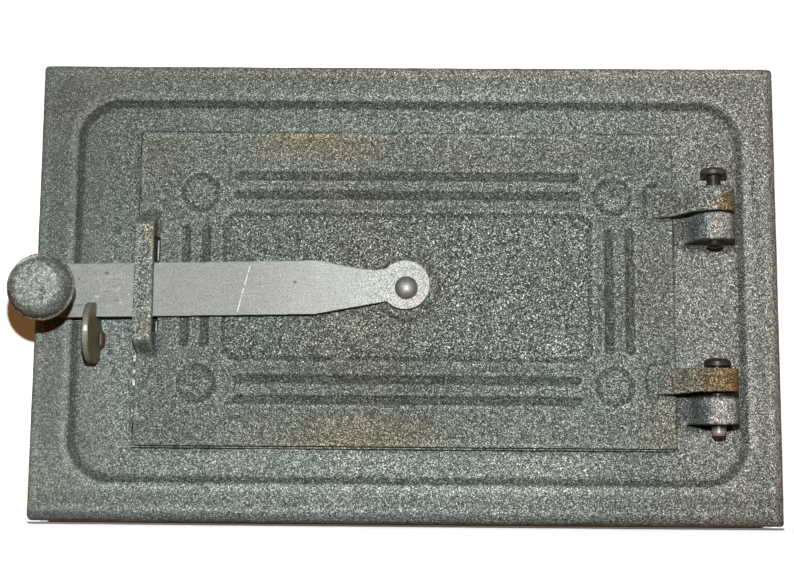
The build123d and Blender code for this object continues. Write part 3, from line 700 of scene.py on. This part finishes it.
def leaf_iron():
    # painted light: the leaf is painted darker in the middle and lighter towards its edges to even out the lamp's
    # falloff, lighter on the bridge and darker on the arms
    def tone_and_painted_light(p):
        middle = p.vector("LENGTH", p.vector("MULTIPLY", p.p, (1 / 120.0, 0.0, 1 / 70.0)))
        x, y = p.axis(0), p.axis(1)
        slow = p.math("MULTIPLY", p.ramp(middle, 0.5, 1.05, 0.87, 1.10), p.ramp(x, -116, 116, 1.0, 1.01, smooth=False))
        bridge = p.product(p.ramp(x, -104.0, -106.0), p.ramp(y, -15.0, -17.5), 0.24)
        arms = p.product(p.ramp(x, 102.0, 112.0), p.ramp(y, -11.5, -13.5), -0.14)
        slow = p.math("MULTIPLY", slow, p.math("ADD", 1.0, p.product(p.ramp(x, 0, 45), p.ramp(p.axis(2), -12, -32), p.ramp(x, 118.0, 112.0), 0.10)))
        slow = p.math("SUBTRACT", slow, p.math("MULTIPLY", p.patch((-12, -11, -8), (24, 9, 42), 0.7, 0.5, 9), 0.045))
        return p.product(slow, p.math("ADD", 1.0, bridge), p.math("ADD", 1.0, arms))

    def warm_middle(p):
        return p.patch((-16, -11, -2), (28, 9, 46), 0.7, 0.6, 9), OLIVE, 0.36

    def warm_top(p):
        return p.patch((42, -11, 59), (62, 5, 12), 0.6, 0.7, 8), OLIVE, 0.30

    def warm_side(p):
        return p.patch((104, -11, -14), (13, 5, 46), 0.6, 0.7, 8), OLIVE, 0.26

    def corner(p):
        return p.patch((112.0, -11, -60), (9, 6, 13), 0.9, 0.9, 4), OCHRE, 0.32

    def top_band(p):
        return p.patch((-40, -11, 64), (28, 5, 5), 0.6, 1.0, 6), OCHRE, 0.40

    def top_line(p):
        return p.product(p.patch((-45, -10, 68.6), (16, 5, 2.0), 0.4, 0.8, 4)), (0.092, 0.070, 0.036), 0.45

    def bottom_band(p):
        return p.patch((-18, -11, -62), (36, 5, 8), 0.6, 1.0, 6), OCHRE, 0.40

    def left_top(p):
        return p.patch((-110, -11, 60), (10, 5, 10), 0.7, 1.0, 6), OLIVE, 0.35

    def bridge_warm(p):
        return p.any(p.patch((-109.5, -19, 23), (3.0, 4, 7), 0.6, 0.8, 3), p.patch((-109.5, -19, -16), (3.4, 4, 6), 0.8, 0.8, 3)), OCHRE, 0.38

    def arm_up(p):
        return p.patch((135.6, -23, 37.0), (4.2, 8, 4.0), 0.6, 0.9, 2.6), (0.080, 0.046, 0.020), 0.75

    def arm_up_olive(p):
        return p.patch((119, -19, 38), (17, 12, 9), 0.4, 0.5, 4), (0.055, 0.057, 0.044), 0.5

    def arm_up_highlight(p):
        # painted highlight: a lighter, speckled patch on the upper arm's curve, where the lamp's reflection falls
        return p.product(p.patch((127.5, -25, 37.4), (5.0, 6, 5.0), 0.5, 0.7, 2.5), p.ramp(p.noise(0.9, 2, 0.6), 0.47, 0.60)), (0.19, 0.19, 0.18), 0.6

    def arm_low(p):
        return p.patch((138, -23, -38), (13, 9, 8), 0.55, 0.7, 3.0), (0.074, 0.045, 0.017), 0.85

    def arm_low_ochre(p):
        return p.patch((121, -20, -38), (12, 10, 8), 0.5, 0.5, 4), (0.060, 0.051, 0.034), 0.7

    def arm_underside_shade(p):
        # painted shade: the arms' undersides, over the gaps to the knuckles, are painted near black
        z, normal = p.axis(2), p.nt.nodes.new("ShaderNodeNewGeometry").outputs["Normal"]
        down = p.ramp(p.vector("DOT_PRODUCT", normal, (0.0, 0.0, -1.0)), 0.25, 0.7)
        return p.product(down, p.ramp(p.axis(1), -11.2, -12.4), p.any(p.math("MULTIPLY", p.within(z, 31.0, 35.2), 0.5), p.within(z, -45.5, -41.6))), (0.010, 0.009, 0.008), 0.95

    def side_face_shade(p):
        # painted shade, with some soot: the leaf's side faces and the hinge's gap are painted dark
        x, y, z = p.axis(0), p.axis(1), p.axis(2)
        rim = p.product(p.ramp(y, -10.1, -9.6), p.math("SUBTRACT", 1.0, p.product(p.within(x, -115.6, 115.0, 0.1), p.within(z, -66.4, 69.1, 0.1))))
        return rim, SOOT_AND_SHADE, 0.8

    def calm(p):
        panel = p.product(p.within(p.axis(0), -80, 81, 2.0), p.within(p.axis(2), -30.5, 34.5, 2.0))
        return p.math("ADD", p.math("MULTIPLY", panel, 0.14), 0.86)

    return iron("leaf_cast_iron", tuple(c * 0.94 for c in BASE), tone_and_painted_light,
                [warm_middle, warm_top, warm_side, corner, top_band, top_line, bottom_band, left_top, bridge_warm, arm_up_olive, arm_up_highlight, arm_low_ochre,
                 arm_up, arm_low, arm_underside_shade, side_face_shade], None, hollow_shade_and_grime=0.6, calm=calm)


def knob_iron():
    paint = Paint("knob_cast_iron")
    y = paint.axis(1)
    radial = paint.vector("LENGTH", paint.vector("MULTIPLY", paint.vector("SUBTRACT", paint.p, (KNOB[0], 0.0, KNOB[1])), (1.0, 0.0, 1.0)))
    factor, glint, height = grain(paint, 0.52, 3.8, 1.9, facets=1.0)
    ragged = paint.math("ADD", radial, paint.math("MULTIPLY", paint.math("SUBTRACT", paint.noise(2.6, 2, 0.6), 0.5), 3.2))
    # painted light: the front face is painted lighter than the sides, where light falls square on it
    lit_front = paint.product(paint.ramp(ragged, 8.2, 9.8, 1.0, 0.0), paint.ramp(y, -46, -48.5))
    pit = paint.patch((-145.4, -50, -6.4), (1.1, 4, 2.6), 0.5, 0.6, 1.2)
    rim = paint.product(paint.within(y, -44.2, -40.6, 0.6), paint.ramp(radial, 12.2, 13.2))
    colour = paint.mix(lit_front, (0.078, 0.089, 0.082), (0.138, 0.157, 0.151))
    colour = paint.mix(paint.math("MULTIPLY", rim, 0.7), colour, (0.082, 0.090, 0.082))
    colour = paint.mix(paint.math("MULTIPLY", pit, 0.75), colour, (0.035, 0.036, 0.033))
    colour = paint.times(colour, factor)
    colour = paint.mix(paint.math("MULTIPLY", glint, 0.7), colour, (0.60, 0.62, 0.60))
    rough = paint.ramp(paint.noise(1.8, 2.0, 0.6), 0.3, 0.7, 0.48, 0.66, smooth=False)
    paint.bump(paint.math("MULTIPLY", height, paint.math("SUBTRACT", 1.0, paint.math("MULTIPLY", rim, 0.75))), 0.42)
    return paint.done(colour, rough, paint.math("ADD", paint.math("MULTIPLY", glint, 0.5), 0.15))


def bar_steel():
    paint = Paint("bar_rolled_steel")
    lengthwise = paint.vector("MULTIPLY", paint.p, (0.035, 1.0, 1.0))
    rolled = paint.noise(0.35, 2.0, 0.6, at=lengthwise)
    fine = paint.noise(0.62, 2.0, 0.6)
    cloud = paint.noise(11, 3.0, 0.6)
    speck, chance = paint.cells(1.1)
    dots = paint.product(paint.ramp(chance, 0.965, 0.985), paint.ramp(speck, 0.08, 0.3, 1.0, 0.0))
    x, z = paint.axis(0), paint.axis(2)
    scratch_line = paint.math("ADD", paint.math("SUBTRACT", x, paint.math("MULTIPLY", z, 0.255)), 69.55)
    scratch = paint.product(paint.ramp(paint.math("ABSOLUTE", scratch_line), 0.10, 0.34, 1.0, 0.0),
                            paint.within(z, -10.2, 11.8, 0.6), paint.ramp(paint.noise(2.4), 0.30, 0.45))
    worn = paint.patch((-124, -15, -1), (9, 3, 8), 0.5, 1.4, 3.0)
    smudge = paint.math("MULTIPLY", worn, paint.ramp(paint.noise(2.4, 3.0, 0.65), 0.52, 0.72, 0.0, 0.75))
    streak = paint.math("MULTIPLY", worn, paint.ramp(paint.noise(0.9, 2.0, 0.6, at=paint.vector("MULTIPLY", paint.p, (0.12, 1.0, 1.0))), 0.6, 0.7))
    black = paint.any(paint.patch((-47.5, -14.8, 3.1), (0.8, 1, 0.7), 0.3), paint.patch((-140.5, -14.8, 3.8), (0.5, 1, 0.4), 0.3),
                      paint.patch((-128.5, -14.8, 6.4), (1.1, 1, 0.6), 0.4), paint.patch((-140.0, -14.8, -7.5), (1.6, 1, 0.35), 0.4))
    value = paint.math("ADD", 1.0, paint.math("MULTIPLY", paint.math("SUBTRACT", rolled, 0.5), 0.55))
    off = paint.vector("LENGTH", paint.vector("MULTIPLY", paint.vector("SUBTRACT", paint.p, (PIVOT[0], 0.0, PIVOT[1])), (1.0, 0.0, 1.0)))
    eye = paint.ramp(off, 30.0, 8.0)
    speckle = paint.math("MULTIPLY", paint.math("SUBTRACT", fine, 0.5), paint.math("ADD", 1.6, paint.math("MULTIPLY", eye, 2.6)))
    value = paint.math("ADD", value, speckle)
    value = paint.math("ADD", value, paint.math("MULTIPLY", paint.math("SUBTRACT", cloud, 0.5), 0.60))
    # painted light: the bar is painted brighter towards the middle of the door, where the lamp's reflection is
    # strongest, and a little darker at its left end
    value = paint.product(value, paint.ramp(x, -112, -98, 1.0, 0.90), paint.ramp(x, -72, -36, 1.0, 1.28), paint.ramp(x, -32, -12, 1.0, 1.13))
    warm = paint.patch((7.0, -15, -6.5), (9.0, 4, 7.0), 0.7, 0.8, 3.0)
    colour = paint.times(paint.mix(paint.math("MULTIPLY", warm, 0.5), (0.173, 0.184, 0.174), (0.205, 0.186, 0.170)), value)
    colour = paint.mix(paint.math("MULTIPLY", paint.any(scratch, smudge, dots), 0.75), colour, (0.5, 0.5, 0.48))
    colour = paint.mix(paint.math("MULTIPLY", streak, 0.45), colour, (0.07, 0.07, 0.065))
    colour = paint.mix(paint.math("MULTIPLY", black, 0.8), colour, (0.06, 0.06, 0.055))
    # painted shade: the bar's downward faces are painted near black
    normal = paint.nt.nodes.new("ShaderNodeNewGeometry").outputs["Normal"]
    colour = paint.times(colour, paint.ramp(paint.vector("DOT_PRODUCT", normal, (0.0, 0.0, -1.0)), 0.3, 0.7, 1.0, 0.1))
    paint.bump(paint.math("ADD", paint.math("MULTIPLY", rolled, 0.5), paint.math("MULTIPLY", fine, 0.5)), 0.03)
    rough = paint.ramp(cloud, 0.3, 0.7, 0.58, 0.70, smooth=False)
    return paint.done(colour, rough, 0.35)


def keeper_steel():
    paint = Paint("keeper_worn_steel")
    x, y, z = paint.axis(0), paint.axis(1), paint.axis(2)
    normal = paint.nt.nodes.new("ShaderNodeNewGeometry").outputs["Normal"]
    facing_front = paint.math("MULTIPLY", paint.vector("DOT_PRODUCT", normal, (0.0, -1.0, 0.0)), 1.0)
    # painted light, partly wear: the rim facing the front is painted light grey where light falls square on it; the
    # side face is painted dark olive-brown, partly its own colour and partly the shade of light grazing it, lighter
    # towards the top
    edge = paint.product(paint.ramp(x, -132.5, -133.0), paint.ramp(facing_front, 0.10, 0.55))
    blotch = paint.noise(3.0, 3.0, 0.6)
    flat = paint.mix(paint.ramp(blotch, 0.35, 0.65), (0.066, 0.055, 0.023), (0.112, 0.096, 0.048))
    flat = paint.mix(paint.ramp(z, -13.5, -10.5), flat, (0.100, 0.106, 0.084))
    colour = paint.mix(edge, flat, (0.140, 0.148, 0.134))
    # painted shadow: a dark line along the rim's left edge
    colour = paint.times(colour, paint.ramp(x, -134.85, -134.45, 0.22, 1.0))
    glint = paint.product(paint.patch((-133.2, -28.6, -18.4), (0.8, 4, 1.1), 0.5), edge)
    colour = paint.mix(glint, colour, (0.85, 0.85, 0.82))
    bead = paint.patch((-131, -8, -22), (3.2, 3.4, 3.6), 0.25, 0.5, 1.5)
    colour = paint.mix(paint.math("MULTIPLY", bead, 0.95), colour, (0.034, 0.024, 0.018))
    colour = paint.times(colour, paint.ramp(paint.noise(0.5, 2.0, 0.6), 0.3, 0.7, 0.75, 1.25, smooth=False))
    paint.bump(paint.noise(0.7, 3.0, 0.6), 0.08)
    return paint.done(colour, paint.ramp(blotch, 0.3, 0.7, 0.45, 0.6, smooth=False), 0.35)


def pin_steel(name, bright_tail):
    paint = Paint(name)
    z = paint.axis(2)
    turned = paint.vector("MULTIPLY", paint.p, (0.05, 0.05, 1.0))
    rings = paint.noise(0.3, 2.0, 0.6, at=turned)
    blotch = paint.noise(2.5, 3.0, 0.6)
    colour = paint.mix(paint.ramp(blotch, 0.35, 0.65), (0.031, 0.030, 0.024), (0.054, 0.052, 0.042))
    if bright_tail is not None:
        tail = paint.within(z, bright_tail - 3.2, bright_tail, 0.4)
        colour = paint.mix(tail, colour, (0.19, 0.195, 0.20))
        # painted shade: the tail is darker just under the knuckle, and its end is painted black
        colour = paint.times(colour, paint.ramp(z, bright_tail - 1.1, bright_tail - 0.6, 1.0, 0.55))
        colour = paint.mix(paint.ramp(z, bright_tail - 3.0, bright_tail - 3.4), colour, (0.006, 0.006, 0.006))
    else:
        # painted shade: the tail's end is painted black, and the neck under the head darker
        colour = paint.mix(paint.ramp(z, 19.7, 18.9), colour, (0.005, 0.005, 0.005))
        colour = paint.times(colour, paint.ramp(z, 50.8, 49.6, 1.0, 0.45))
    colour = paint.times(colour, paint.ramp(rings, 0.3, 0.7, 0.8, 1.2, smooth=False))
    paint.bump(paint.math("ADD", rings, blotch), 0.04)
    return paint.done(colour, paint.ramp(blotch, 0.3, 0.7, 0.34, 0.5, smooth=False), 0.4, 0.25)


def rivet_steel():
    paint = Paint("rivet_steel")
    radial = paint.vector("LENGTH", paint.vector("MULTIPLY", paint.vector("SUBTRACT", paint.p, (PIVOT[0], 0.0, PIVOT[1])), (1.0, 0.0, 1.0)))
    rings = paint.noise(0.55, 1.0, 0.5, at=paint.vector("SCALE", (1.0, 0.3, 0.2), scale=radial))
    blotch = paint.noise(1.4, 3.0, 0.6)
    colour = paint.mix(paint.ramp(rings, 0.38, 0.62), (0.072, 0.078, 0.076), (0.098, 0.105, 0.102))
    # painted highlight: the dome is painted lighter towards its middle
    colour = paint.mix(paint.ramp(radial, 4.4, 0.6), colour, (0.23, 0.24, 0.235))
    colour = paint.times(colour, paint.ramp(blotch, 0.3, 0.7, 0.75, 1.2, smooth=False))
    paint.bump(paint.math("ADD", rings, blotch), 0.05)
    return paint.done(colour, paint.ramp(blotch, 0.3, 0.7, 0.44, 0.52, smooth=False), 0.3, 0.35)


def paint_on(ob, mat):
    door.objects.link(ob)
    ob.data.materials.clear()
    ob.data.materials.append(mat)


# ---------------------------------------------------------------- the whole

place_camera()
door = bpy.data.collections.new("door")
scene.collection.children.link(door)
light_it(door)
set_stage()

paint_on(make_frame(), frame_iron())
paint_on(make_leaf(), leaf_iron())
paint_on(make_knob(), knob_iron())
paint_on(make_bar(), bar_steel())
paint_on(make_keeper(), keeper_steel())
paint_on(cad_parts["hinge_pin_upper"], pin_steel("pin_steel_upper", None))
paint_on(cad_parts["hinge_pin_lower"], pin_steel("pin_steel_lower", -57.9))
rivet = rivet_steel()
paint_on(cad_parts["latch_rivet"], rivet)
paint_on(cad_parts["rivet_washer"], rivet)

scene.view_settings.view_transform = "Standard"
scene.view_settings.look = "None"
